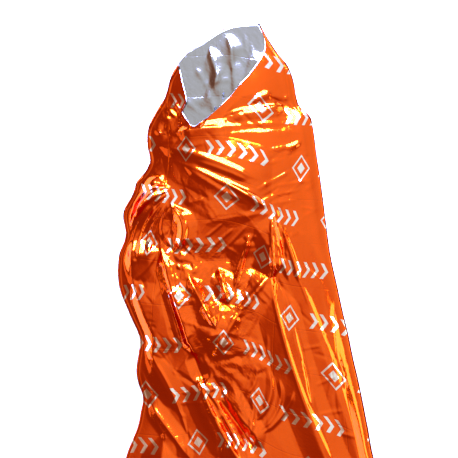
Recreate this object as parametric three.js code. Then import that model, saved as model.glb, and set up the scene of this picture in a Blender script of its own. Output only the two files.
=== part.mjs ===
import * as THREE from 'three';
import { mergeVertices } from 'three/addons/utils/BufferGeometryUtils.js';

// Emergency sleeping bag of metallised film, empty and laid on its back. Two film panels are
// welded along both sides and the foot. The hood end is open, and the front panel's edge is
// pulled down there in a V, off to one side.
// Millimetres. +Z is up, +Y points to the hood, and the origin is under the middle of the bag.

// Driving sizes
const bagLong = 2050;
const footWide = 890;
const filmThick = 2;
const filmGap = 0.3;
const weldWide = 10;
const hoodY = bagLong / 2;
const footY = -bagLong / 2;
const footX = footWide / 2;

// The front panel's own shape over the floor
const sideReach = 0.42;
const footReach = 200;
const puffPower = 1.5;
const edgeEase = 40;
const lowestLift = 14;
const mouthFade = 2.5;

// A fold's crest and its ends: how round the crest is, how hollow its sides are, the share of the
// run that an end takes, what a wide fold adds to that, and how far past its last point it goes
const foldCrest = { rounding: 0.1, power: 1.3 };
const foldEnd = { share: 0.2, width: 0.25, past: 0.35 };

// Grid of each panel: cells across and along, and the share of the rows in the upper part
const frontCells = { across: 36, along: 60 };
const backCells = { across: 14, along: 44 };
const upperRows = 0.76;
const upperLength = 0.62;

// Long edges, foot to hood. Below y = -245 they are finished plainly.
const leftEdge = [
  { y: footY, x: -footX },
  { y: -700, x: -footX },
  { y: -560, x: -438 },
  { y: -400, x: -405 },
  { y: -245, x: -368 },
  { y: -164, x: -336 },
  { y: -120, x: -327 },
  { y: -77, x: -320 },
  { y: -34, x: -334 },
  { y: 4, x: -340 },
  { y: 68, x: -331 },
  { y: 103, x: -331 },
  { y: 170, x: -360 },
  { y: 254, x: -391 },
  { y: 341, x: -391 },
  { y: 399, x: -371 },
  { y: 468, x: -378 },
  { y: 526, x: -348 },
  { y: 558, x: -339 },
  { y: 584, x: -316 },
  { y: 619, x: -299 },
  { y: 665, x: -307 },
  { y: 718, x: -304 },
  { y: 779, x: -273 },
  { y: 808, x: -255 },
  { y: 868, x: -238 },
  { y: 909, x: -215 },
];
const rightEdge = [
  { y: footY, x: footX },
  { y: -700, x: footX },
  { y: -560, x: 436 },
  { y: -400, x: 400 },
  { y: -245, x: 357 },
  { y: -164, x: 342 },
  { y: -34, x: 316 },
  { y: 39, x: 299 },
  { y: 112, x: 284 },
  { y: 170, x: 270 },
  { y: 265, x: 249 },
  { y: 343, x: 232 },
  { y: 430, x: 220 },
  { y: 561, x: 203 },
  { y: 639, x: 191 },
  { y: 720, x: 180 },
  { y: 752, x: 171 },
  { y: 784, x: 139 },
  { y: 860, x: 122 },
  { y: 903, x: 104 },
  { y: 938, x: 75 },
  { y: 996, x: 38 },
  { y: hoodY, x: 23 },
];
const leftTip = leftEdge[leftEdge.length - 1];
const hoodPeak = rightEdge[rightEdge.length - 1];

// Mouth edges of the two panels, from the left tip to the hood's peak
const frontMouth = [
  leftTip,
  { x: -203, y: 850 },
  { x: -191, y: 793 },
  { x: -204, y: 766 },
  { x: -191, y: 741 },
  { x: -171, y: 718 },
  { x: -151, y: 729 },
  { x: -116, y: 755 },
  { x: -70, y: 799 },
  { x: -35, y: 842 },
  { x: -6, y: 874 },
  { x: 38, y: 952 },
  hoodPeak,
];
const backMouth = [
  leftTip,
  { x: -184, y: 942 },
  { x: -136, y: 973 },
  { x: -90, y: 1004 },
  { x: -49, y: 1019 },
  hoodPeak,
];

// Height of the front panel's crown along the bag
const crown = [
  { y: footY, high: 18 },
  { y: -800, high: 32 },
  { y: -400, high: 42 },
  { y: 0, high: 50 },
  { y: 300, high: 56 },
  { y: 560, high: 60 },
  { y: 760, high: 54 },
  { y: 900, high: 44 },
  { y: hoodY, high: 22 },
];

// Folds of the front panel. Each runs from one point to another, with a sideways bend at its
// middle (+ to the left of the way it runs), a rise (- for a trough), its width on each side, and
// how it flares from narrow and low to wide and high.
const frontFolds = [
  // chest
  { x1: -215, y1: 700, x2: -60, y2: 720, bend: 0, rise: 9, left: 22, right: 60, flare: 0 },
  { x1: -100, y1: 720, x2: 140, y2: 755, bend: 0, rise: -4, left: 22, right: 80, flare: 0 },
  { x1: -60, y1: 745, x2: 95, y2: 780, bend: 0, rise: 7, left: 44, right: 30, flare: 0 },
  { x1: -65, y1: 760, x2: 140, y2: 760, bend: 20, rise: -8, left: 30, right: 60, flare: 0 },
  { x1: -250, y1: 655, x2: 0, y2: 570, bend: 3, rise: 8, left: 130, right: 110, flare: -0.2 },
  { x1: -225, y1: 635, x2: -5, y2: 540, bend: 0, rise: -4, left: 30, right: 70, flare: 0 },
  { x1: -205, y1: 610, x2: 35, y2: 490, bend: 9, rise: 10, left: 130, right: 100, flare: 0.25 },
  { x1: 15, y1: 505, x2: 65, y2: 440, bend: 0, rise: 9, left: 50, right: 50, flare: 0 },
  // middle
  { x1: 60, y1: 455, x2: 60, y2: 285, bend: 0, rise: 20, left: 28, right: 60, flare: 0.2 },
  { x1: -180, y1: 325, x2: 45, y2: 335, bend: 0, rise: -26, left: 130, right: 210, flare: 0.1 },
  { x1: -10, y1: 395, x2: -50, y2: 240, bend: 0, rise: 13, left: 30, right: 35, flare: 0 },
  { x1: -360, y1: 455, x2: -220, y2: 530, bend: 0, rise: 12, left: 130, right: 110, flare: 0 },
  { x1: -245, y1: 540, x2: -335, y2: 455, bend: -35, rise: 14, left: 25, right: 25, flare: 0 },
  { x1: -250, y1: 530, x2: -360, y2: 345, bend: -44, rise: 16, left: 26, right: 26, flare: 0 },
  { x1: -230, y1: 485, x2: -220, y2: 360, bend: 23, rise: 18, left: 41, right: 29, flare: 0 },
  { x1: -265, y1: 365, x2: -165, y2: 55, bend: -9, rise: 22, left: 105, right: 32, flare: 0.25 },
  { x1: -250, y1: 240, x2: -205, y2: 85, bend: 0, rise: -10, left: 26, right: 26, flare: 0.2 },
  { x1: -395, y1: 330, x2: -275, y2: 355, bend: 0, rise: 22, left: 45, right: 80, flare: -0.3 },
  { x1: -180, y1: 275, x2: -110, y2: 140, bend: 0, rise: 18, left: 41, right: 35, flare: 0.2 },
  { x1: -95, y1: 300, x2: -70, y2: 205, bend: 0, rise: 16, left: 35, right: 35, flare: 0 },
  { x1: 60, y1: 295, x2: -110, y2: 50, bend: -14, rise: 22, left: 60, right: 90, flare: 0.25 },
  // lower
  { x1: -175, y1: 60, x2: -140, y2: -30, bend: 0, rise: -14, left: 28, right: 28, flare: 0 },
  { x1: -155, y1: -15, x2: -40, y2: -245, bend: -9, rise: 13, left: 45, right: 60, flare: 0 },
  { x1: -110, y1: -15, x2: 0, y2: -220, bend: 0, rise: -12, left: 34, right: 28, flare: 0 },
  { x1: -85, y1: -55, x2: 30, y2: -210, bend: 0, rise: 11, left: 38, right: 24, flare: 0 },
  { x1: 80, y1: 440, x2: 380, y2: -455, bend: 3, rise: 21, left: 90, right: 66, flare: 0.2 },
  { x1: 55, y1: 260, x2: 270, y2: -365, bend: -23, rise: 22, left: 66, right: 58, flare: 0 },
  { x1: -345, y1: 250, x2: -285, y2: 40, bend: 0, rise: 20, left: 150, right: 40, flare: 0 },
  { x1: -330, y1: 95, x2: -215, y2: -105, bend: 0, rise: 9, left: 46, right: 36, flare: 0 },
  { x1: -320, y1: -75, x2: -180, y2: -250, bend: 0, rise: 10, left: 35, right: 30, flare: 0 },
  // over the legs, finished plainly
  { x1: -60, y1: -195, x2: -10, y2: -560, bend: 14, rise: 18, left: 60, right: 70, flare: 0 },
  { x1: -255, y1: -190, x2: -300, y2: -540, bend: 0, rise: 18, left: 80, right: 60, flare: 0 },
  { x1: 200, y1: -360, x2: 150, y2: -680, bend: 0, rise: 20, left: 70, right: 70, flare: 0 },
  { x1: -150, y1: -420, x2: -180, y2: -860, bend: -12, rise: 16, left: 70, right: 60, flare: 0 },
  { x1: 90, y1: -470, x2: 60, y2: -900, bend: 10, rise: 16, left: 60, right: 80, flare: 0 },
];

// Folds of the back panel, inside the hood, where it gathers towards the mouth
const backFolds = [
  { x1: -120, y1: 950, x2: -90, y2: 800, bend: 6, rise: 5, left: 30, right: 34, flare: 0 },
  { x1: -60, y1: 985, x2: -40, y2: 780, bend: -6, rise: 5, left: 34, right: 30, flare: 0 },
  { x1: 0, y1: 960, x2: 40, y2: 800, bend: 5, rise: 5, left: 30, right: 30, flare: 0 },
];
const backFoldEase = 70;

const mirror = { roughness: 0.2, metalness: 1 };
const orangeFilm = new THREE.MeshStandardMaterial({ color: 0xf45010, ...mirror });
const silverFilm = new THREE.MeshStandardMaterial({ color: 0xd8dadd, ...mirror });

function mix(a, b, t) {
  return a + (b - a) * t;
}

function smoothStep(t) {
  const k = Math.min(Math.max(t, 0), 1);
  return k * k * (3 - 2 * k);
}

// Value of one column of a table where its key column reads t, on a smooth curve through the rows
function along(rows, key, column, t) {
  const last = rows.length - 2;
  let i = 0;
  while (i < last && t > rows[i + 1][key]) i += 1;
  const a = rows[i];
  const b = rows[i + 1];
  const span = b[key] - a[key];
  const rate = (b[column] - a[column]) / span;
  const before = i > 0 ? rows[i - 1] : a;
  const after = i < last ? rows[i + 2] : b;
  const rateA = i > 0 ? (b[column] - before[column]) / (b[key] - before[key]) : rate;
  const rateB = i < last ? (after[column] - a[column]) / (after[key] - a[key]) : rate;
  const k = Math.min(Math.max((t - a[key]) / span, 0), 1);
  const line = mix(a[column], b[column], k);
  const lift = k * (1 - k) * ((rateA - rate) * (1 - k) - (rateB - rate) * k) * span;
  return line + lift;
}

// Adds a column `at` to a table of points: the share of the path's length up to each point
function withShares(points) {
  let length = 0;
  const rows = points.map((p, i) => {
    if (i > 0) length += Math.hypot(p.x - points[i - 1].x, p.y - points[i - 1].y);
    return { x: p.x, y: p.y, at: length };
  });
  return rows.map((row) => ({ ...row, at: row.at / length }));
}

const frontMouthPath = withShares(frontMouth);
const backMouthPath = withShares(backMouth);

function pathPoint(path, share) {
  return {
    x: along(path, 'at', 'x', share),
    y: along(path, 'at', 'y', share),
  };
}

// Place on a panel: `across` and `down` run from 0 to 1, from the left edge and from the mouth.
// The mouth's curve fades out towards the foot.
function panelPoint(mouthPath, across, down) {
  const leftY = mix(leftTip.y, footY, down);
  const rightY = mix(hoodPeak.y, footY, down);
  const mouth = pathPoint(mouthPath, across);
  const chordX = mix(leftTip.x, hoodPeak.x, across);
  const chordY = mix(leftTip.y, hoodPeak.y, across);
  const fade = (1 - down) ** mouthFade;
  const leftX = along(leftEdge, 'y', 'x', leftY);
  const rightX = along(rightEdge, 'y', 'x', rightY);
  return {
    x: mix(leftX, rightX, across) + (mouth.x - chordX) * fade,
    y: mix(leftY, rightY, across) + (mouth.y - chordY) * fade,
  };
}

// Level distance from a place to the nearest long edge, and the bag's width there
function sideDistance(x, y) {
  const right = along(rightEdge, 'y', 'x', y) - x;
  const left = y > leftTip.y ? right : x - along(leftEdge, 'y', 'x', y);
  return Math.max(Math.min(left, right), 0);
}

function bagWidth(y) {
  const leftY = Math.min(y, leftTip.y);
  return along(rightEdge, 'y', 'x', y) - along(leftEdge, 'y', 'x', leftY);
}

// Height that one fold adds at a place: a ridge that comes to a point at both ends
function foldHeight(fold, x, y) {
  const runX = fold.x2 - fold.x1;
  const runY = fold.y2 - fold.y1;
  const length = Math.hypot(runX, runY);
  const share = ((x - fold.x1) * runX + (y - fold.y1) * runY) / (length * length);
  const endShare = foldEnd.share + (foldEnd.width * (fold.left + fold.right)) / length;
  const start = smoothStep(share / endShare + foldEnd.past);
  const finish = smoothStep((1 - share) / endShare + foldEnd.past);
  const size = start * finish * (1 + fold.flare * (2 * share - 1));
  if (size <= 0) return 0;
  const offset = (runX * (y - fold.y1) - runY * (x - fold.x1)) / length;
  const aside = offset - fold.bend * 4 * share * (1 - share);
  const reach = Math.abs(aside) / ((aside > 0 ? fold.left : fold.right) * size);
  if (reach >= 1) return 0;
  const rounded = Math.hypot(reach, foldCrest.rounding) - foldCrest.rounding;
  return fold.rise * size * (1 - rounded) ** foldCrest.power;
}

function foldsHeight(folds, x, y) {
  return folds.reduce((sum, fold) => sum + foldHeight(fold, x, y), 0);
}

// Puffed rise from 0 at an edge to 1 at `reach` from it
function puff(distance, reach) {
  const k = Math.min(Math.max(distance / reach, 0), 1);
  return 1 - (1 - k) ** puffPower;
}

// Underside of the front panel above the top of the back panel
function frontLift(x, y) {
  const side = Math.max(sideDistance(x, y) - weldWide, 0);
  const foot = Math.max(y - footY - weldWide, 0);
  const rise = puff(side, sideReach * bagWidth(y)) * puff(foot, footReach);
  const ease = smoothStep(side / edgeEase) * smoothStep(foot / edgeEase);
  const body = along(crown, 'y', 'high', y) * rise + foldsHeight(frontFolds, x, y) * ease;
  return Math.max(body, lowestLift * Math.min(rise * 2, 1));
}

function frontHeight(x, y) {
  return filmThick + filmGap + frontLift(x, y);
}

function backHeight(x, y) {
  const ease = smoothStep((sideDistance(x, y) - weldWide) / backFoldEase);
  return Math.max(foldsHeight(backFolds, x, y) * ease, 0);
}

// Share across the panel at a grid column, with the welds as the outer columns
function columnShare(column, columns, width) {
  const weld = weldWide / width;
  if (column === 0) return 0;
  if (column === columns) return 1;
  return mix(weld, 1 - weld, (column - 1) / (columns - 2));
}

// Share down the panel at a grid row, with the foot weld as the last row
function rowShare(row, rows) {
  if (row === rows) return 1;
  const lastShare = 1 - weldWide / bagLong;
  const share = row / (rows - 1);
  if (share < upperRows) return (share / upperRows) * upperLength;
  return mix(upperLength, lastShare, (share - upperRows) / (1 - upperRows));
}

// Direction out of a sheet's upper face, level at the welds. The slope is read over a short step.
function outward(height, x, y, welded) {
  if (welded) return new THREE.Vector3(0, 0, 1);
  const step = 3 * filmThick;
  const slopeX = (height(x + step, y) - height(x - step, y)) / (2 * step);
  const slopeY = (height(x, y + step) - height(x, y - step)) / (2 * step);
  return new THREE.Vector3(-slopeX, -slopeY, 1).normalize();
}

// Turns each grid cell's diagonal to the one that lies nearer the panel's height at its middle,
// so that a slanting fold keeps a straight crest. The box has six indices for a cell.
function turnDiagonals(sheet, layerOf, height) {
  const corner = sheet.attributes.position;
  for (let i = 0; i < sheet.index.count; i += 6) {
    const [a, b, d, , c] = [0, 1, 2, 3, 4].map((k) => sheet.index.getX(i + k));
    const cell = [a, b, c, d];
    if (cell.some((k) => layerOf[k] !== layerOf[a])) continue;
    const mean = (read) => cell.reduce((sum, k) => sum + read(k), 0) / 4;
    const x = mean((k) => corner.getX(k));
    const y = mean((k) => corner.getY(k));
    const wanted = height(x, y) + layerOf[a];
    const missNow = Math.abs((corner.getZ(b) + corner.getZ(d)) / 2 - wanted);
    const missTurned = Math.abs((corner.getZ(a) + corner.getZ(c)) / 2 - wanted);
    if (missTurned < missNow) [a, b, c, a, c, d].forEach((k, n) => sheet.index.setX(i + n, k));
  }
}

// A closed sheet of film: a one-layer box whose grid is laid over the panel's own heights
function filmPanel(name, material, mouthPath, height, cells) {
  const box = new THREE.BoxGeometry(1, 1, 1, cells.across, cells.along, 1);
  box.deleteAttribute('normal');
  box.deleteAttribute('uv');
  const sheet = mergeVertices(box);
  const corner = sheet.attributes.position;
  const layerOf = [];
  for (let i = 0; i < corner.count; i += 1) {
    const column = Math.round((corner.getX(i) + 0.5) * cells.across);
    const row = Math.round((0.5 - corner.getY(i)) * cells.along);
    const down = rowShare(row, cells.along);
    const leftY = mix(leftTip.y, footY, down);
    const across = columnShare(column, cells.across, bagWidth(leftY));
    const place = panelPoint(mouthPath, across, down);
    const welded = column === 0 || column === cells.across || row === cells.along;
    const under = new THREE.Vector3(place.x, place.y, height(place.x, place.y));
    const layer = corner.getZ(i) > 0 ? filmThick : 0;
    under.addScaledVector(outward(height, place.x, place.y, welded), layer);
    corner.setXYZ(i, under.x, under.y, under.z);
    layerOf.push(layer);
  }
  turnDiagonals(sheet, layerOf, height);
  sheet.computeVertexNormals();
  const mesh = new THREE.Mesh(sheet, material);
  mesh.name = name;
  return mesh;
}

const group = new THREE.Group();
group.add(filmPanel('back_film', silverFilm, backMouthPath, backHeight, backCells));
group.add(filmPanel('front_film', orangeFilm, frontMouthPath, frontHeight, frontCells));

export default group;
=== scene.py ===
import math

import bpy
import numpy as np
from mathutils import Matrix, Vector
from mathutils.geometry import delaunay_2d_cdt


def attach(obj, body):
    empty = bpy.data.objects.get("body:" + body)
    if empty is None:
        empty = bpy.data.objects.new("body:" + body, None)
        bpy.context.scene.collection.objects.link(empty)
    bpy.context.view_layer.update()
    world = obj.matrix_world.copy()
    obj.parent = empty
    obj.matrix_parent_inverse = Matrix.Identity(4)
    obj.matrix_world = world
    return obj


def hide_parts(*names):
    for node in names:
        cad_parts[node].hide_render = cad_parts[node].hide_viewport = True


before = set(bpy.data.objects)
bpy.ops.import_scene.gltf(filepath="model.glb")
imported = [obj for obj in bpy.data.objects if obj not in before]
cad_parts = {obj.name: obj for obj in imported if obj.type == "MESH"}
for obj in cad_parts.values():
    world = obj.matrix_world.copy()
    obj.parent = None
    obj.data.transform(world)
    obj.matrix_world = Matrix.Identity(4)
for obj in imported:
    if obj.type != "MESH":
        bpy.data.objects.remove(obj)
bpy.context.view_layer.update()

mm = 0.001  # every table below is in millimetres, Blender works in metres

# What the bag is: two panels of thin film, welded at both sides and the foot
bag = {
    "long": 2050, "footWide": 890,          # as it lies
    "cutWide": 900, "cutLong": 2100,        # each panel as cut
    "film": 0.8, "gap": 0.2, "weld": 10,    # sheet thickness shown, air at the weld, width of the weld
    "sideReach": 0.42, "footReach": 200,    # from an edge in to where the front panel is at its crown
    "puffPower": 1.5,                       # how round the crown's sides are
    "edgeEase": 40, "backEase": 70,         # how far in from an edge the folds grow to their full height
    "lowestLift": 14,                       # least height of the front panel away from its edges
    "mouthFade": 2.5,                       # how soon the rows of the mesh lose the mouth's curve
}
hoodY = bag["long"] / 2
footY = -hoodY
footX = bag["footWide"] / 2

# Long edges, foot to hood: y, x
leftEdge = [
    (footY, -footX), (-700, -footX), (-560, -438), (-400, -405), (-245, -368), (-164, -336),
    (-120, -327), (-77, -320), (-34, -334), (4, -340), (68, -331), (103, -331), (170, -360),
    (254, -391), (341, -391), (399, -371), (468, -378), (526, -348), (558, -339), (584, -316),
    (619, -299), (665, -307), (718, -304), (779, -273), (808, -255), (868, -238), (909, -215),
]
rightEdge = [
    (footY, footX), (-700, footX), (-560, 436), (-400, 400), (-245, 357), (-164, 342), (-34, 316),
    (39, 299), (112, 284), (170, 270), (265, 249), (343, 232), (430, 220), (561, 203), (639, 191),
    (720, 180), (752, 171), (784, 139), (860, 122), (903, 104), (938, 75), (996, 38), (hoodY, 23),
]
leftTip = (leftEdge[-1][1], leftEdge[-1][0])
hoodPeak = (rightEdge[-1][1], rightEdge[-1][0])

# Mouth edges from the left tip to the hood's peak: x, y
frontMouth = [
    leftTip, (-203, 850), (-191, 793), (-204, 766), (-191, 741), (-171, 718), (-151, 729),
    (-116, 755), (-70, 799), (-35, 842), (-6, 874), (38, 952), hoodPeak,
]
backMouth = [leftTip, (-184, 942), (-136, 973), (-90, 1004), (-49, 1019), hoodPeak]

# Crown of the front panel along the bag: y, height
crown = [
    (footY, 18), (-800, 32), (-400, 42), (0, 50), (300, 56), (560, 60), (760, 54), (900, 44),
    (hoodY, 22),
]

# Main folds of the front panel, as in the solid. Each runs from one point to another, bent to its
# left at its middle, with its rise (- for a trough), its widths to the left and right of the way it
# runs, and how it flares from narrow and low to wide and high
frontFolds = [
    # x1, y1, x2, y2, bend, rise, left, right, flare
    # chest
    (-215, 700, -60, 720, 0, 9, 22, 60, 0),
    (-100, 720, 140, 755, 0, -4, 22, 80, 0),
    (-60, 745, 95, 780, 0, 7, 44, 30, 0),
    (-65, 760, 140, 760, 20, -8, 30, 60, 0),
    (-250, 655, 0, 570, 3, 8, 130, 110, -0.2),
    (-225, 635, -5, 540, 0, -4, 30, 70, 0),
    (-205, 610, 35, 490, 9, 10, 130, 100, 0.25),
    (15, 505, 65, 440, 0, 9, 50, 50, 0),
    # middle
    (60, 455, 60, 285, 0, 20, 28, 60, 0.2),
    (-180, 325, 45, 335, 0, -26, 130, 210, 0.1),
    (-10, 395, -50, 240, 0, 13, 30, 35, 0),
    (-360, 455, -220, 530, 0, 12, 130, 110, 0),
    (-245, 540, -335, 455, -35, 14, 25, 25, 0),
    (-250, 530, -360, 345, -44, 16, 26, 26, 0),
    (-230, 485, -220, 360, 23, 18, 41, 29, 0),
    (-265, 365, -165, 55, -9, 22, 105, 32, 0.25),
    (-250, 240, -205, 85, 0, -10, 26, 26, 0.2),
    (-395, 330, -275, 355, 0, 22, 45, 80, -0.3),
    (-180, 275, -110, 140, 0, 18, 41, 35, 0.2),
    (-95, 300, -70, 205, 0, 16, 35, 35, 0),
    (60, 295, -110, 50, -14, 22, 60, 90, 0.25),
    # lower
    (-175, 60, -140, -30, 0, -14, 28, 28, 0),
    (-155, -15, -40, -245, -9, 13, 45, 60, 0),
    (-110, -15, 0, -220, 0, -12, 34, 28, 0),
    (-85, -55, 30, -210, 0, 11, 38, 24, 0),
    (80, 440, 380, -455, 3, 21, 90, 66, 0.2),
    (55, 260, 270, -365, -23, 22, 66, 58, 0),
    (-345, 250, -285, 40, 0, 20, 150, 40, 0),
    (-330, 95, -215, -105, 0, 9, 46, 36, 0),
    (-320, -75, -180, -250, 0, 10, 35, 30, 0),
    # over the legs, finished plainly
    (-60, -195, -10, -560, 14, 18, 60, 70, 0),
    (-255, -190, -300, -540, 0, 18, 80, 60, 0),
    (200, -360, 150, -680, 0, 20, 70, 70, 0),
    (-150, -420, -180, -860, -12, 16, 70, 60, 0),
    (90, -470, 60, -900, 10, 16, 60, 80, 0),
]
# Creases too fine for the solid: each has a narrow side that catches the light and a soft side
frontCreases = [
    # x1, y1, x2, y2, bend, rise, left, right, flare
    # chest
    (-215, 700, -85, 710, 6, 2.5, 12, 30, 0),
    (-260, 660, 0, 570, 9, 4.5, 12, 34, -0.2),
    (-160, 615, -15, 560, 3, 2, 7, 14, 0),
    (-205, 610, 30, 490, 6, 5.5, 13, 34, 0.4),
    (-190, 595, -45, 510, -3, 3.5, 10, 20, 0.2),
    (-75, 550, 30, 490, 3, 4, 12, 14, 0.3),
    (-195, 495, -145, 505, 0, 2.5, 8, 14, 0),
    (30, 545, 105, 585, 0, 1.6, 6, 12, 0),
    (60, 515, 140, 535, 0, 1, 5, 9, 0),
    (40, 490, 130, 505, 0, 1, 5, 9, 0),
    (70, 545, 155, 560, 0, 1, 5, 9, 0),
    (50, 648, 140, 668, 0, 2, 8, 12, 0),
    (100, 650, 145, 675, 0, 2.5, 10, 12, 0),
    (-140, 685, 140, 705, 6, 0.8, 8, 18, 0),
    (-75, 715, 135, 730, 3, 1, 8, 16, 0),
    # shoulders
    (-85, 740, 15, 780, 0, -3, 8, 14, 0),
    (-65, 755, 30, 780, 0, 3, 8, 10, 0),
    (30, 770, 100, 785, 0, 4, 10, 16, 0),
    (0, 790, 55, 820, 0, 4, 12, 20, 0),
    (95, 800, 130, 820, 0, 3, 9, 12, 0),
    (50, 805, 130, 765, 0, -2.5, 8, 10, 0),
    (-150, 712, 25, 985, -10, 3, 5, 26, 0),
    (-295, 755, -235, 740, 0, 4, 9, 12, 0),
    (-305, 725, -265, 695, 0, 4, 8, 10, 0),
    (-275, 795, -220, 745, 0, 4, 9, 10, 0),
    (-240, 815, -210, 760, 0, 3, 8, 9, 0),
    (-310, 695, -240, 705, 0, 3, 8, 10, 0),
    (-295, 670, -220, 680, 0, 2.5, 8, 14, 0),
    # elbow
    (-245, 545, -345, 470, -14, 6, 10, 12, 0.3),
    (-245, 540, -360, 410, -26, 7, 10, 12, 0.3),
    (-245, 530, -370, 360, -35, 7, 10, 12, 0.3),
    (-240, 525, -355, 325, -32, 6, 10, 12, 0.3),
    (-245, 510, -330, 325, -23, 6, 9, 11, 0.3),
    (-250, 495, -300, 350, -12, 5, 8, 10, 0.3),
    (-285, 490, -295, 435, 0, 4, 9, 9, 0),
    (-230, 485, -220, 350, 26, 5, 10, 20, 0),
    (-235, 485, -225, 360, -32, 5, 20, 10, 0),
    (-225, 460, -245, 395, 0, -2.5, 7, 7, 0),
    (-205, 380, -150, 320, 0, 3, 7, 9, 0),
    (-190, 440, -220, 350, 9, 3.5, 9, 9, 0),
    (-325, 545, -260, 575, 0, 3, 9, 14, 0),
    (-300, 590, -265, 625, 0, 3, 10, 12, 0),
    # left side
    (-265, 360, -170, 60, -3, 3.5, 12, 9, 0),
    (-250, 340, -210, 215, 0, 2.5, 8, 8, 0),
    (-245, 235, -200, 90, 0, -4, 7, 8, 0.2),
    (-200, 130, -185, 80, 0, 4, 8, 8, 0),
    (-390, 330, -335, 325, 0, 4, 9, 16, 0),
    (-390, 250, -335, 260, 0, 4, 14, 20, 0),
    (-280, 345, -385, 250, 14, 2, 6, 10, 0),
    # middle
    (-215, 205, -165, 215, 0, 3, 9, 14, 0),
    (-185, 275, -110, 140, 3, 4, 10, 12, 0),
    (-150, 180, -85, 205, 0, 3.5, 12, 16, 0),
    (-95, 300, -70, 205, 0, 4, 9, 10, 0),
    (-160, 260, -140, 215, 0, 4, 9, 9, 0),
    (55, 285, -105, 55, -14, 3.5, 12, 12, 0),
    (-115, 60, -45, 55, 0, 3.5, 11, 14, 0),
    (-135, 105, -75, 125, 0, 3, 9, 12, 0),
    (-120, 365, -55, 420, 0, 1.8, 6, 8, 0),
    (-90, 350, -15, 430, 0, 1.8, 6, 8, 0),
    (-45, 350, 30, 420, 0, 1.8, 6, 8, 0),
    (-135, 395, -85, 435, 0, 1.8, 6, 8, 0),
    (-135, 435, 60, 465, 6, 2, 12, 20, 0),
    (-25, 395, 15, 395, 0, 3, 10, 12, 0),
    (-10, 385, -50, 250, 0, 4, 8, 9, 0),
    # pleats
    (55, 450, 60, 295, 0, 4, 8, 8, 0.3),
    (60, 450, 80, 300, 0, 4, 7, 8, 0.3),
    (65, 440, 105, 275, -3, 5, 8, 9, 0.3),
    (80, 435, 135, 270, 6, 4, 9, 9, 0.3),
    (90, 410, 95, 325, 0, -2.5, 6, 7, 0),
    # lower left
    (-330, 95, -190, -175, 17, 3, 6, 9, 0),
    (-320, -75, -250, -195, 0, 2.2, 6, 9, 0),
    (-305, -85, -180, -250, 0, 4, 11, 12, 0),
    (-335, 5, -295, -80, 0, 8, 12, 12, 0),
    (-305, -85, -280, -75, 0, 3, 6, 6, 0),
    (-225, 5, -135, -55, 0, -3, 9, 12, 0),
    (-210, -90, -140, -85, 0, 1.5, 6, 8, 0),
    (-205, -60, -140, -50, 0, 1.5, 6, 8, 0),
    (-155, -20, -35, -250, -9, 4, 10, 12, 0),
    # lower middle
    (-135, -55, -35, -235, 0, -5, 9, 10, 0),
    (-110, -70, -15, -245, 0, 4, 8, 9, 0),
    (-95, -75, 10, -220, 0, -4, 8, 9, 0),
    (50, 5, 15, -135, 20, 5, 12, 16, 0),
    (80, -20, 30, -160, 23, 4.5, 10, 12, 0),
    (120, -55, 35, -170, 12, 5, 12, 14, 0),
    (0, -60, -15, -195, 9, 4, 10, 12, 0),
    (15, 20, -15, -60, 9, 3, 9, 12, 0),
    # right side
    (135, 275, 315, -245, 14, 2.5, 12, 8, 0),
    (55, 260, 230, -250, -20, 2.5, 9, 9, 0),
    (95, 230, 175, -90, 9, -3, 8, 8, 0),
    (185, -35, 245, -10, 0, 1.2, 5, 7, 0),
    (195, -120, 265, -110, 0, 1.2, 5, 7, 0),
    (250, 0, 285, 20, 0, 1.6, 5, 6, 0),
    (145, 70, 200, 80, 0, 1.2, 5, 6, 0),
    (145, 735, 205, 360, 0, 2.5, 24, 30, 0),
    (170, 620, 250, 125, 0, 2.5, 20, 26, 0),
]
# Gathers of the back panel inside the hood
backFolds = [
    (-120, 950, -90, 800, 6, 5, 30, 34, 0),
    (-60, 985, -40, 780, -6, 5, 34, 30, 0),
    (0, 960, 40, 800, 5, 5, 30, 30, 0),
]
# Finer creases of the back panel there
backCreases = [
    (-170, 900, -110, 760, 8, 3, 14, 20, 0),
    (-125, 960, -95, 860, -5, 2.2, 10, 12, 0),
    (-100, 880, -150, 770, 6, 2.5, 12, 16, 0),
    (-70, 990, -55, 880, 4, 2.2, 9, 12, 0),
    (-60, 930, -110, 830, -8, 2, 16, 20, 0),
    (-20, 1000, -25, 900, 5, 2.2, 10, 10, 0),
    (0, 980, -20, 850, 6, 2.5, 12, 12, 0),
    (-150, 840, -60, 860, 5, 2, 8, 12, 0),
    (-190, 790, -120, 740, 0, 2.2, 10, 12, 0),
]
# Its crumple there, in the columns of crumpleZones below
backCrumple = (-70, 880, 230, 170, 35, 1.6, 42, 5.0, 0)


def smoothStep(t):
    k = np.clip(t, 0, 1)
    return k * k * (3 - 2 * k)


def along(rows, t):
    # smooth curve through the rows of a table of (key, value), read at t
    key = np.array([row[0] for row in rows], float)
    value = np.array([row[1] for row in rows], float)
    i = np.clip(np.searchsorted(key, t, side="left") - 1, 0, len(rows) - 2)
    rate = np.diff(value) / np.diff(key)
    wide = np.empty(len(rows))
    wide[1:-1] = (value[2:] - value[:-2]) / (key[2:] - key[:-2])
    wide[0], wide[-1] = rate[0], rate[-1]
    span = key[i + 1] - key[i]
    k = np.clip((t - key[i]) / span, 0, 1)
    line = value[i] + (value[i + 1] - value[i]) * k
    bow = (wide[i] - rate[i]) * (1 - k) - (wide[i + 1] - rate[i]) * k
    return line + k * (1 - k) * bow * span


def pathPoint(points, share):
    steps = np.hypot(np.diff([p[0] for p in points]), np.diff([p[1] for p in points]))
    at = np.concatenate([[0], np.cumsum(steps)]) / steps.sum()
    x = along(list(zip(at, [p[0] for p in points])), share)
    y = along(list(zip(at, [p[1] for p in points])), share)
    return x, y


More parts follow.
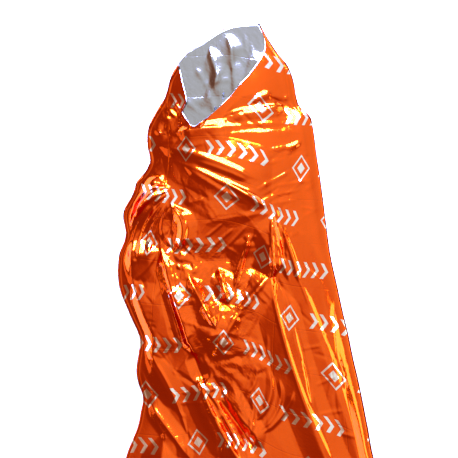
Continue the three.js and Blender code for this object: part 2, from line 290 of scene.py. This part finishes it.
def panelPoint(mouth, across, down):
    # a place on a panel: across runs 0 to 1 from the left edge, down 0 to 1 from the mouth
    leftY = leftTip[1] + (footY - leftTip[1]) * down
    rightY = hoodPeak[1] + (footY - hoodPeak[1]) * down
    mouthX, mouthY = pathPoint(mouth, across)
    chordX = leftTip[0] + (hoodPeak[0] - leftTip[0]) * across
    chordY = leftTip[1] + (hoodPeak[1] - leftTip[1]) * across
    fade = (1 - down) ** bag["mouthFade"]
    leftX, rightX = along(leftEdge, leftY), along(rightEdge, rightY)
    x = leftX + (rightX - leftX) * across + (mouthX - chordX) * fade
    y = leftY + (rightY - leftY) * across + (mouthY - chordY) * fade
    return x, y


def sideDistance(x, y):
    right = along(rightEdge, y) - x
    left = np.where(y > leftTip[1], right, x - along(leftEdge, np.minimum(y, leftTip[1])))
    return np.maximum(np.minimum(left, right), 0)


def bagWidth(y):
    return along(rightEdge, y) - along(leftEdge, np.minimum(y, leftTip[1]))


# A fold's end: its share of the run, what a wide fold adds to that, and how far past its last point
# it goes. Its crest: how round it is, and how hollow the sides are.
foldEnd = {"share": 0.2, "width": 0.25, "past": 0.35}
foldCrest = {"rounding": 0.05, "power": 1.15}


def foldHeight(fold, x, y):
    # a ridge or trough with flat sides that comes to a point at both ends
    x1, y1, x2, y2, bend, rise, left, right, flare = fold
    runX, runY = x2 - x1, y2 - y1
    length = math.hypot(runX, runY)
    share = ((x - x1) * runX + (y - y1) * runY) / length ** 2
    aside = (runX * (y - y1) - runY * (x - x1)) / length - bend * 4 * share * (1 - share)
    endShare = foldEnd["share"] + foldEnd["width"] * (left + right) / length
    start = smoothStep(share / endShare + foldEnd["past"])
    finish = smoothStep((1 - share) / endShare + foldEnd["past"])
    size = start * finish * (1 + flare * (2 * share - 1))
    reach = np.abs(aside) / (np.where(aside > 0, left, right) * np.maximum(size, 1e-6))
    rounded = np.hypot(np.minimum(reach, 1), foldCrest["rounding"]) - foldCrest["rounding"]
    return np.where(reach < 1, rise * size * (1 - rounded) ** foldCrest["power"], 0)


def foldsHeight(folds, x, y):
    return sum(foldHeight(fold, x, y) for fold in folds)


def puff(distance, reach):
    return 1 - (1 - np.clip(distance / reach, 0, 1)) ** bag["puffPower"]


def frontHeight(x, y, folds):
    side = np.maximum(sideDistance(x, y) - bag["weld"], 0)
    foot = np.maximum(y - footY - bag["weld"], 0)
    rise = puff(side, bag["sideReach"] * bagWidth(y)) * puff(foot, bag["footReach"])
    ease = smoothStep(side / bag["edgeEase"]) * smoothStep(foot / bag["edgeEase"])
    body = along(crown, y) * rise + folds * ease
    body = np.maximum(body, bag["lowestLift"] * np.minimum(rise * 2, 1))
    return bag["film"] + bag["gap"] + body


def backHeight(x, y, folds):
    ease = smoothStep((sideDistance(x, y) - bag["weld"]) / bag["backEase"])
    return np.maximum(folds * ease, 0)


# Crumpled zones of the film: flat little facets between scattered peaks and pits. Each zone has its
# middle, its two radii, the turn of its long way in degrees, how far facets stretch along it, the
# facet size, the rise of the peaks and how finely it is creased beside that, from 0 to 1
crumpleSeed = 11
# How fast a zone's edge comes in, how far a facet's corner strays, as a share of its size, and the
# share of the rise that the lowest peaks have
zoneShape = {"edge": 1.6, "stray": 0.42, "lowest": 0.2}
crumpleZones = [
    # x, y, radiusA, radiusB, turn, stretch, facet, rise, fine
    (0, 0, 1500, 1500, 80, 2.2, 130, 3.5, 0),       # the whole panel, gently
    (-120, 230, 190, 150, -60, 1.6, 32, 3.8, 1),    # bunched middle
    (-205, 320, 70, 60, -50, 1.2, 15, 3.0, 1),      # tight crumple beside the long ridge
    (-60, 60, 130, 80, -20, 1.3, 20, 3.0, 1),       # glitter under it
    (-110, 500, 150, 60, -30, 1.8, 26, 2.5, 0.4),   # below the chest folds
    (-230, 740, 70, 80, 60, 1.5, 22, 4.0, 0.6),     # left of the mouth
    (-290, 430, 120, 80, 60, 2.6, 26, 3.0, 0.6),    # elbow
    (60, 750, 120, 60, 10, 2.6, 26, 1.6, 0.3),      # right shoulder
    (-70, -110, 160, 90, -60, 2.6, 26, 4.0, 0.8),   # lower middle
    (120, 520, 110, 160, 0, 3.0, 40, 1.2, 0),       # smooth right side
    (210, 60, 160, 260, 70, 2.5, 60, 1.8, 0),
    (-300, 120, 110, 200, 80, 2.2, 60, 1.8, 0),
    (0, -650, 500, 420, 80, 1.6, 90, 5.0, 0.3),     # the part over the legs
    (0, -650, 500, 420, 20, 1.8, 40, 2.0, 0),
]
# Short sharp creases scattered over the front panel: how many, the middle and the radii of their
# patch, their mean direction and its spread in degrees, their longest run and highest rise
scatterSeed = 5
scatteredCreases = [
    # count, x, y, radiusX, radiusY, turn, spread, run, rise
    (60, 0, 500, 330, 330, -20, 60, 110, 1.4),
    (60, -120, 230, 240, 220, -60, 90, 90, 1.7),
    (50, 0, -60, 380, 260, -60, 60, 130, 1.6),
    (16, 130, 560, 70, 140, 20, 30, 120, 1.0),
    (14, 230, 120, 90, 260, -70, 60, 140, 1.2),
    (90, 0, -650, 420, 340, -80, 90, 260, 2.4),
]
# The least and most of a scattered crease: its share of the longest run, its width on each side, its
# bend as a share of half its run, and its share of the highest rise
scatterRange = {"run": (0.25, 1), "width": (5, 11), "bend": (-0.15, 0.15), "rise": (0.2, 1)}


def scatteredRows():
    rng = np.random.default_rng(scatterSeed)
    rows = []
    for count, x, y, radiusX, radiusY, turn, spread, run, rise in scatteredCreases:
        for _ in range(count):
            away, bearing = math.sqrt(rng.uniform()), rng.uniform(0, 2 * math.pi)
            middleX = x + radiusX * away * math.cos(bearing)
            middleY = y + radiusY * away * math.sin(bearing)
            way = math.radians(turn + rng.uniform(-spread, spread))
            half = run * rng.uniform(*scatterRange["run"]) / 2
            alongX, alongY = half * math.cos(way), half * math.sin(way)
            left, right = rng.uniform(*scatterRange["width"], 2)
            bend = half * rng.uniform(*scatterRange["bend"])
            height = rise * rng.choice([-1, 1]) * rng.uniform(*scatterRange["rise"])
            rows.append((middleX - alongX, middleY - alongY, middleX + alongX, middleY + alongY,
                         bend, height, left, right, 0))
    return rows


def zoneFade(zone, x, y):
    middleX, middleY, radiusA, radiusB, turn = zone[:5]
    cos, sin = math.cos(math.radians(turn)), math.sin(math.radians(turn))
    alongA = (x - middleX) * cos + (y - middleY) * sin
    alongB = (y - middleY) * cos - (x - middleX) * sin
    inside = (alongA / radiusA) ** 2 + (alongB / radiusB) ** 2
    return alongA, alongB, smoothStep((1 - inside) * zoneShape["edge"])


def facetRelief(zone, x, y, rng):
    # heights of a creased zone: straight between scattered points, so every facet is flat
    stretch, facet, rise = zone[5:8]
    alongA, alongB, fade = zoneFade(zone, x, y)
    near = fade > 0
    p, q = alongA[near] / stretch, alongB[near]
    relief = np.zeros_like(x)
    if not near.any():
        return relief
    gridP = np.arange(p.min() - 2 * facet, p.max() + 2 * facet, facet)
    gridQ = np.arange(q.min() - 2 * facet, q.max() + 2 * facet, facet)
    cornerP, cornerQ = [part.ravel() for part in np.meshgrid(gridP, gridQ)]
    stray = zoneShape["stray"]
    cornerP = cornerP + rng.uniform(-stray, stray, cornerP.shape) * facet
    cornerQ = cornerQ + rng.uniform(-stray, stray, cornerQ.shape) * facet
    peaks = rng.choice([-1, 1], cornerP.shape) * rng.uniform(zoneShape["lowest"], 1, cornerP.shape)
    height = peaks * rise
    found = delaunay_2d_cdt([Vector(pair) for pair in zip(cornerP, cornerQ)], [], [], 0, 1e-6)
    order = [ids[0] for ids in found[3]]
    cornerP, cornerQ, height = cornerP[order], cornerQ[order], height[order]
    value = np.zeros_like(p)
    for a, b, c in found[2]:
        pa, pb, pc, qa, qb, qc = cornerP[a], cornerP[b], cornerP[c], cornerQ[a], cornerQ[b], cornerQ[c]
        box = ((p >= min(pa, pb, pc)) & (p <= max(pa, pb, pc))
               & (q >= min(qa, qb, qc)) & (q <= max(qa, qb, qc))).nonzero()[0]
        if not len(box):
            continue
        area = (pb - pa) * (qc - qa) - (pc - pa) * (qb - qa)
        u = ((p[box] - pa) * (qc - qa) - (pc - pa) * (q[box] - qa)) / area
        v = ((pb - pa) * (q[box] - qa) - (p[box] - pa) * (qb - qa)) / area
        hit = (u >= -1e-9) & (v >= -1e-9) & (u + v <= 1 + 1e-9)
        slopes = u[hit] * (height[b] - height[a]) + v[hit] * (height[c] - height[a])
        value[box[hit]] = height[a] + slopes
    relief[near] = value * fade[near]
    return relief


def crumpledHeight(x, y):
    rng = np.random.default_rng(crumpleSeed)
    total = np.zeros_like(x)
    for zone in crumpleZones:
        total += facetRelief(zone, x, y, rng)
    return total


def crumpleShare(x, y):
    # how finely creased the film is at a place, from 0 to 1
    return np.clip(sum(zone[8] * zoneFade(zone, x, y)[2] for zone in crumpleZones), 0, 1)


def columnShares(columns, width):
    weld = bag["weld"] / width
    inner = weld + (1 - 2 * weld) * np.linspace(0, 1, columns - 1)[None, :]
    edge = np.zeros((len(width), 1))
    return np.concatenate([edge, inner, edge + 1], axis=1)


# The rows are closer together in the part that the photo shows: share of the rows, of the length
closeRows = {"rows": 0.76, "length": 0.62}


def rowShares(rows):
    upperRows, upperLength = closeRows["rows"], closeRows["length"]
    share = np.arange(rows) / (rows - 1)
    last = 1 - bag["weld"] / bag["long"]
    upper = share / upperRows * upperLength
    lower = upperLength + (last - upperLength) * (share - upperRows) / (1 - upperRows)
    return np.concatenate([np.where(share < upperRows, upper, lower), [1.0]])


def panelGrid(mouth, columns, rows):
    down = rowShares(rows)[:, None]
    width = bagWidth(leftTip[1] + (footY - leftTip[1]) * down)
    across = columnShares(columns, width)
    down = np.broadcast_to(down, across.shape).copy()
    x, y = panelPoint(mouth, across, down)
    return across, down, x, y


def lowerSheet(upper, step):
    # the sheet's other face on every `step`-th row and column, under the lowest place around it
    x, y, z = upper[..., 0], upper[..., 1], upper[..., 2]
    lowest = z.copy()
    for axis in (0, 1):
        source = lowest.copy()
        for shift in range(1, step + 1):
            head = [slice(None), slice(None)]
            tail = [slice(None), slice(None)]
            head[axis], tail[axis] = slice(shift, None), slice(None, -shift)
            lowest[tuple(head)] = np.minimum(lowest[tuple(head)], source[tuple(tail)])
            lowest[tuple(tail)] = np.minimum(lowest[tuple(tail)], source[tuple(head)])
    for rim in ((slice(None), 0), (slice(None), -1), (0,), (-1,)):
        lowest[rim] = z[rim]
    return np.stack([x, y, lowest - bag["film"]], axis=-1)[::step, ::step]


# Layout for baking: how wide and tall each face of a sheet is in the unit square, and its margin
bakeFace = {"wide": 0.48, "tall": 0.98, "margin": 0.01, "innerFrom": 0.5}


def filmMesh(name, across, down, upper, step, silverHighlightRows, materials):
    # a closed sheet: a fine outer grid, a coarser inner one and the rim that joins them
    lower = lowerSheet(upper, step)
    rows, columns = upper.shape[:2]
    fine = np.arange(rows * columns).reshape(rows, columns)
    coarse = rows * columns + np.arange(lower.shape[0] * lower.shape[1]).reshape(lower.shape[:2])
    top, bottom = [
        np.stack([index[:-1, :-1], index[1:, :-1], index[1:, 1:], index[:-1, 1:]], axis=-1).reshape(-1, 4)
        for index in (fine, coarse)]
    ringFine, ringCoarse = [
        np.concatenate([index[:-1, 0], index[-1, :-1], index[:0:-1, -1], index[0, :0:-1]])
        for index in (fine, coarse)]
    after = np.roll(ringCoarse, -1)
    rim = [
        [*np.roll(ringFine, -i * step)[:step + 1][::-1], ringCoarse[i], after[i]]
        for i in range(len(ringCoarse))]
    loops = np.concatenate([top.ravel(), bottom[:, ::-1].ravel(), np.array(rim).ravel()]).astype(np.int32)
    sizes = np.array([4] * (len(top) + len(bottom)) + [step + 3] * len(rim), dtype=np.int32)
    points = np.concatenate([upper.reshape(-1, 3), lower.reshape(-1, 3)]) * mm
    mesh = bpy.data.meshes.new(name)
    mesh.vertices.add(len(points))
    mesh.vertices.foreach_set("co", points.ravel())
    mesh.loops.add(len(loops))
    mesh.loops.foreach_set("vertex_index", loops)
    mesh.polygons.add(len(sizes))
    starts = np.concatenate([[0], np.cumsum(sizes)[:-1]]).astype(np.int32)
    mesh.polygons.foreach_set("loop_start", starts)
    mesh.polygons.foreach_set("loop_total", sizes)
    mesh.update(calc_edges=True)
    mesh.polygons.foreach_set("use_smooth", np.arange(len(sizes)) < len(top) + len(bottom))
    face = np.ones(len(sizes), dtype=np.int32)
    # the first rows at the mouth take the silver material: the film's silver side and a painted highlight
    # along the mouth's edge
    face[silverHighlightRows * (columns - 1):len(top)] = 0
    mesh.polygons.foreach_set("material_index", face)
    for material in materials:
        mesh.materials.append(material)
    # the outer face is on the left half of the baking layout, the inner one on its right
    share = np.stack([across, 1 - down], axis=-1)
    share = np.concatenate([share.reshape(-1, 2), share[::step, ::step].reshape(-1, 2)])
    bake = share[loops] * (bakeFace["wide"], bakeFace["tall"]) + bakeFace["margin"]
    firstInner, lastInner = 4 * len(top), 4 * (len(top) + len(bottom))
    bake[firstInner:lastInner, 0] += bakeFace["innerFrom"]
    mesh.uv_layers.new(name="OFBake").data.foreach_set("uv", bake.ravel().astype(np.float32))
    # the film's own metres, which the print and the creases follow
    cut = points[:, :2] + wander(points[:, 0], points[:, 1])
    mesh.uv_layers.new(name="cutMap").data.foreach_set("uv", cut[loops].ravel().astype(np.float32))
    crumple = crumpleShare(points[:, 0] / mm, points[:, 1] / mm).astype(np.float32)
    mesh.attributes.new("crumple", "FLOAT", "POINT").data.foreach_set("value", crumple)
    mesh.validate()
    piece = bpy.data.objects.new(name, mesh)
    bpy.context.scene.collection.objects.link(piece)
    return piece


# How the film has slid as it was drawn together, in metres, so that its print runs in bent rows
slideWaves = [
    # size across, size along, turns with x, with y, start
    (0.02, 0, 0, 6, 1),
    (0.012, 0, 15, -4, 0),
    (0, 0.018, 9, 2, 0),
    (0, 0.01, 21, 0, 0),
]
# The rows of print climb from here to the right, by this much in each metre
climb = {"from": 0.02, "slope": 0.35}


def wander(x, y):
    aside, upward = np.zeros_like(x), climb["slope"] * np.maximum(x - climb["from"], 0)
    for sizeAcross, sizeAlong, turnX, turnY, start in slideWaves:
        wave = np.sin(turnX * x + turnY * y + start)
        aside, upward = aside + sizeAcross * wave, upward + sizeAlong * wave
    return np.stack([aside, upward], axis=-1)


def linear(hexColour):
    # sRGB hex to linear
    parts = [int(hexColour[i:i + 2], 16) / 255 for i in (1, 3, 5)]
    return [c / 12.92 if c <= 0.04045 else ((c + 0.055) / 1.055) ** 2.4 for c in parts]


def addNode(tree, kind, settings=None, inputs=None):
    # inputs are values, or sockets to link
    node = tree.nodes.new(kind)
    for name, value in (settings or {}).items():
        setattr(node, name, value)
    for key, value in (inputs or {}).items():
        if isinstance(value, bpy.types.NodeSocket):
            tree.links.new(value, node.inputs[key])
        else:
            node.inputs[key].default_value = value
    return node


def addSteps(tree, steps, made):
    # a chain of math nodes: each step is a result's name, an operation and what goes in
    for result, operation, *parts in steps:
        inputs = {i: made.get(part, part) for i, part in enumerate(parts)}
        made[result] = addNode(tree, "ShaderNodeMath", {"operation": operation}, inputs).outputs[0]
    return made


def newMaterial(name):
    material = bpy.data.materials.new(name)
    material.use_nodes = True
    material.node_tree.nodes.clear()
    return material, material.node_tree


# Metallised polyethylene film, printed orange over the metal: an orange mirror under a thin clear coat,
# which gives deep orange where it reflects the room and pale yellow where it reflects a lamp
orangeLook = {
    "orange": "#F6600A", "edgeOrange": "#FF9A50", "silver": "#F0F0F2",
    "roughness": 0.11, "coat": 0.28, "coatRoughness": 0.05,
    "smooth": 0.1, "crumpled": 0.6,      # how deep the facets are where the film is smooth, crumpled
    # rows of silver chevrons with a diamond between them, in metres
    "rowPitch": 0.145, "tall": 0.044, "groupPitch": 0.324, "chevronPitch": 0.027, "stroke": 0.34,
    "slant": 0.014, "rowShift": 0.113, "groupShare": 0.5, "diamondAt": 0.77, "diamondWide": 0.062,
    "diamondTall": 0.078, "diamondLine": 0.17, "diamondHeart": 0.42,
}
# Facets of the creased film that are too small for the mesh: size and stretch in metres, lean, turn
filmFacets = [
    # facet, stretch, lean, turn
    (0.055, 0.45, 0.07, 0.3),
    (0.021, 0.6, 0.12, 1.4),
    (0.009, 1.0, 0.16, 2.2),
]
# The creases of the packet that the bag was folded to
packet = {"wide": 0.175, "tall": 0.125, "crease": 0.0025, "deep": 0.00022}


def creasedHeight(tree, place, amount):
    # flat facets with a sharp crease where they meet, in metres
    total = 0.0
    for facet, stretch, lean, turn in filmFacets:
        scale = (1 / facet, stretch / facet, 1)
        turned = addNode(tree, "ShaderNodeMapping", {}, {
            "Vector": place, "Rotation": (0, 0, turn), "Scale": scale}).outputs[0]
        edge = addNode(tree, "ShaderNodeTexVoronoi", {
            "voronoi_dimensions": "2D", "feature": "DISTANCE_TO_EDGE"}, {
            "Vector": turned, "Scale": 1.0}).outputs["Distance"]
        cell = addNode(tree, "ShaderNodeTexVoronoi", {"voronoi_dimensions": "2D"}, {
            "Vector": turned, "Scale": 1.0}).outputs["Color"]
        random = addNode(tree, "ShaderNodeSeparateColor", {}, {0: cell}).outputs[0]
        total = addSteps(tree, [
            ("lean", "MULTIPLY_ADD", random, 2.0, -1.0),
            ("rise", "MULTIPLY", "lean", edge),
            ("scaled", "MULTIPLY", "rise", lean * facet),
            ("total", "ADD", "scaled", total)], {})["total"]
    return addSteps(tree, [("height", "MULTIPLY", total, amount)], {})["height"]


def packetCreases(tree, place):
    # the grid of straight creases left by the packet
    parts = addNode(tree, "ShaderNodeSeparateXYZ", {}, {0: place})
    deepest = 0.0
    for across, pitch in ((parts.outputs[0], packet["wide"]), (parts.outputs[1], packet["tall"])):
        deepest = addSteps(tree, [
            ("turns", "DIVIDE", across, pitch),
            ("part", "FRACT", "turns"),
            ("off", "SUBTRACT", "part", 0.5),
            ("far", "ABSOLUTE", "off"),
            ("share", "MULTIPLY", "far", pitch / packet["crease"]),
            ("near", "MINIMUM", "share", 1.0),
            ("dip", "SUBTRACT", "near", 1.0),
            ("deep", "MULTIPLY_ADD", "dip", packet["deep"], deepest)], {})["deep"]
    return deepest


def printMask(tree, place):
    # where the film is printed silver
    look = orangeLook
    parts = addNode(tree, "ShaderNodeSeparateXYZ", {}, {0: place})
    half = look["tall"] / 2
    return addSteps(tree, [
        ("rowAt", "DIVIDE", "t", look["rowPitch"]),
        ("row", "FLOOR", "rowAt"),
        ("inRow", "FRACT", "rowAt"),
        ("up", "MULTIPLY_ADD", "inRow", look["rowPitch"] / half, -0.5 * look["rowPitch"] / half),
        ("rise", "ABSOLUTE", "up"),
        ("band", "LESS_THAN", "rise", 1.0),
        ("shifted", "MULTIPLY_ADD", "row", look["rowShift"], "s"),
        ("slanted", "MULTIPLY_ADD", "rise", look["slant"], "shifted"),
        ("barTurns", "DIVIDE", "slanted", look["chevronPitch"]),
        ("barPart", "FRACT", "barTurns"),
        ("bar", "LESS_THAN", "barPart", look["stroke"]),
        ("groupTurns", "DIVIDE", "slanted", look["groupPitch"]),
        ("groupPart", "FRACT", "groupTurns"),
        ("grouped", "LESS_THAN", "groupPart", look["groupShare"]),
        ("barsHere", "MULTIPLY", "bar", "grouped"),
        ("bars", "MULTIPLY", "barsHere", "band"),
        ("plainTurns", "DIVIDE", "shifted", look["groupPitch"]),
        ("plainPart", "FRACT", "plainTurns"),
        ("off", "SUBTRACT", "plainPart", look["diamondAt"]),
        ("far", "ABSOLUTE", "off"),
        ("high", "MULTIPLY", "rise", look["tall"] / look["diamondTall"]),
        ("corner", "MULTIPLY_ADD", "far", look["groupPitch"] * 2 / look["diamondWide"], "high"),
        ("outer", "COMPARE", "corner", 1 - look["diamondLine"] / 2, look["diamondLine"] / 2),
        ("heart", "LESS_THAN", "corner", look["diamondHeart"]),
        ("diamond", "MAXIMUM", "outer", "heart"),
        ("mask", "MAXIMUM", "bars", "diamond"),
    ], {"s": parts.outputs[0], "t": parts.outputs[1]})["mask"]


def filmBump(tree, place, look):
    # fine facets, deeper where the film is crumpled, and the packet's creases
    crumple = addNode(tree, "ShaderNodeAttribute", {"attribute_name": "crumple"}).outputs["Fac"]
    made = addSteps(tree, [
        ("amount", "MULTIPLY_ADD", crumple, look["crumpled"] - look["smooth"], look["smooth"])], {})
    facets = creasedHeight(tree, place, made["amount"])
    height = addSteps(tree, [("height", "ADD", facets, packetCreases(tree, place))], {})["height"]
    return addNode(tree, "ShaderNodeBump", {}, {
        "Strength": 1.0, "Distance": 1.0, "Height": height}).outputs[0]


def orangeFilm():
    look = orangeLook
    material, tree = newMaterial("metallised_film_orange")
    place = addNode(tree, "ShaderNodeUVMap", {"uv_map": "cutMap"}).outputs[0]
    colour = addNode(tree, "ShaderNodeMix", {"data_type": "RGBA"}, {
        0: printMask(tree, place), 6: (*linear(look["orange"]), 1), 7: (*linear(look["silver"]), 1)})
    shader = addNode(tree, "ShaderNodeBsdfPrincipled", {}, {
        "Base Color": colour.outputs[2], "Metallic": 1.0, "Roughness": look["roughness"],
        "Specular Tint": (*linear(look["edgeOrange"]), 1), "Coat Weight": look["coat"],
        "Coat Roughness": look["coatRoughness"], "Normal": filmBump(tree, place, look)})
    addNode(tree, "ShaderNodeOutputMaterial", {}, {0: shader.outputs[0]})
    return material


# The same film's bare aluminium face: a grey mirror that shows every crease
silverLook = {"silver": "#A8ACB3", "roughness": 0.14, "smooth": 0.25, "crumpled": 0.5}


def silverFilm():
    material, tree = newMaterial("metallised_film_silver")
    place = addNode(tree, "ShaderNodeUVMap", {"uv_map": "cutMap"}).outputs[0]
    shader = addNode(tree, "ShaderNodeBsdfPrincipled", {}, {
        "Base Color": (*linear(silverLook["silver"]), 1), "Metallic": 1.0,
        "Roughness": silverLook["roughness"], "Normal": filmBump(tree, place, silverLook)})
    addNode(tree, "ShaderNodeOutputMaterial", {}, {0: shader.outputs[0]})
    return material


orange, silver = orangeFilm(), silverFilm()
print("materials made")

# The front panel. Its first row of faces at the mouth is silver: partly the film's silver side, partly a
# painted highlight along the mouth's edge
frontSheet = {"columns": 229, "rows": 401, "innerStep": 4, "silverHighlightRows": 1}
across, down, x, y = panelGrid(frontMouth, frontSheet["columns"], frontSheet["rows"] - 1)
relief = foldsHeight(frontFolds + frontCreases + scatteredRows(), x, y) + crumpledHeight(x, y)
z = frontHeight(x, y, relief)
front = filmMesh("front_panel", across, down, np.stack([x, y, z + bag["film"]], axis=-1),
                 frontSheet["innerStep"], frontSheet["silverHighlightRows"], [orange, silver])
print("front panel made")

# The back panel: its silver inner face is up
backSheet = {"columns": 101, "rows": 241, "innerStep": 4, "silverHighlightRows": 0}
across, down, x, y = panelGrid(backMouth, backSheet["columns"], backSheet["rows"] - 1)
relief = facetRelief(backCrumple, x, y, np.random.default_rng(crumpleSeed))
z = backHeight(x, y, foldsHeight(backFolds + backCreases, x, y) + relief)
back = filmMesh("back_panel", across, down, np.stack([x, y, z + bag["film"]], axis=-1),
                backSheet["innerStep"], backSheet["silverHighlightRows"], [silver, orange])
print("back panel made")

for piece, node in ((front, "front_film"), (back, "back_film")):
    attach(piece, "root")
    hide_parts(node)

# Studio: pale floor, a room that is dark to the left and the foot, and soft boxes over the head and
# low at both sides
studio = {
    "cameraX": -0.067, "cameraY": 0.419, "cameraZ": 3.2,
    "frameWide": 1.328, "frameZ": 0.05,      # the view's width, and how high up it is measured
    "sensor": 36,
    "floor": "#FFFFFF", "floorRoughness": 0.9, "floorGlow": 0.25, "floorReach": 6.0, "floorDrop": 0.0005,
    "roomLight": (0.28, 0.46, 0.84),     # where the room is brightest
    # share of the way to the brightest side, red, green, blue: a warm dim corner, then white
    "roomStops": [
        (0.0, 0.27, 0.09, 0.04), (0.38, 0.33, 0.12, 0.06), (0.5, 0.47, 0.22, 0.12),
        (0.6, 0.62, 0.37, 0.26), (0.7, 0.78, 0.58, 0.48), (0.8, 0.88, 0.81, 0.74),
        (0.9, 0.97, 0.93, 0.88), (1.0, 1.15, 1.1, 1.05),
    ],
    # place, target, size, radiance, colour
    "boxes": {
        "head_box": ((0.4, 3.3, 2.3), (0, 0.5, 0), (3.2, 2.3), 24.0, (0.85, 0.97, 2.0)),
        "right_wing": ((3.6, 0.3, 0.9), (0, 0.3, 0), (3.0, 1.0), 4.5, (1.0, 0.95, 0.8)),
        "left_wing": ((-3.6, 0.3, 0.9), (0, 0.3, 0), (3.0, 1.0), 0.7, (1.0, 0.9, 0.7)),
    },
}


def softBox(name, place, target, size, radiance, colour):
    light = bpy.data.lights.new(name, "AREA")
    light.shape = "RECTANGLE"
    light.size, light.size_y = size
    light.color = colour
    light.energy = radiance * math.pi * size[0] * size[1]
    lamp = bpy.data.objects.new(name, light)
    bpy.context.scene.collection.objects.link(lamp)
    lamp.location = place
    toward = Vector(target) - Vector(place)
    lamp.rotation_euler = toward.to_track_quat("-Z", "Y").to_euler()


def buildRoom(scene):
    world = bpy.data.worlds.new("studio_room")
    scene.world = world
    world.use_nodes = True
    tree = world.node_tree
    tree.nodes.clear()
    direction = addNode(tree, "ShaderNodeTexCoord").outputs["Generated"]
    facing = addNode(tree, "ShaderNodeVectorMath", {"operation": "DOT_PRODUCT"}, {
        0: direction, 1: Vector(studio["roomLight"]).normalized()}).outputs["Value"]
    ramp = addNode(tree, "ShaderNodeValToRGB", {}, {0: facing})
    stops = studio["roomStops"]
    elements = ramp.color_ramp.elements
    elements[0].position, elements[0].color = stops[0][0], (*stops[0][1:], 1)
    elements[1].position, elements[1].color = stops[-1][0], (*stops[-1][1:], 1)
    for position, *colour in stops[1:-1]:
        elements.new(position).color = (*colour, 1)
    background = addNode(tree, "ShaderNodeBackground", {}, {0: ramp.outputs[0], "Strength": 1.0})
    addNode(tree, "ShaderNodeOutputWorld", {}, {0: background.outputs[0]})


def buildStudio():
    scene = bpy.context.scene
    scene.view_settings.view_transform = "Standard"
    mesh = bpy.data.meshes.new("floor")
    reach = studio["floorReach"]
    corners = [(-reach, -reach), (reach, -reach), (reach, reach), (-reach, reach)]
    mesh.from_pydata([(x, y, -studio["floorDrop"]) for x, y in corners], [], [(0, 1, 2, 3)])
    floor = bpy.data.objects.new("floor", mesh)
    scene.collection.objects.link(floor)
    material, tree = newMaterial("matt_paper_backdrop")
    shader = addNode(tree, "ShaderNodeBsdfPrincipled", {}, {
        "Base Color": (*linear(studio["floor"]), 1), "Roughness": studio["floorRoughness"],
        "Specular IOR Level": 0.0, "Emission Color": (1, 1, 1, 1),
        "Emission Strength": studio["floorGlow"]})
    addNode(tree, "ShaderNodeOutputMaterial", {}, {0: shader.outputs[0]})
    mesh.materials.append(material)
    for name, box in studio["boxes"].items():
        softBox(name, *box)
    buildRoom(scene)
    camera = bpy.data.cameras.new("camera")
    camera.sensor_width = studio["sensor"]
    camera.lens = studio["sensor"] * (studio["cameraZ"] - studio["frameZ"]) / studio["frameWide"]
    eye = bpy.data.objects.new("camera", camera)
    eye.location = (studio["cameraX"], studio["cameraY"], studio["cameraZ"])
    scene.collection.objects.link(eye)
    scene.camera = eye


buildStudio()
print("studio made")
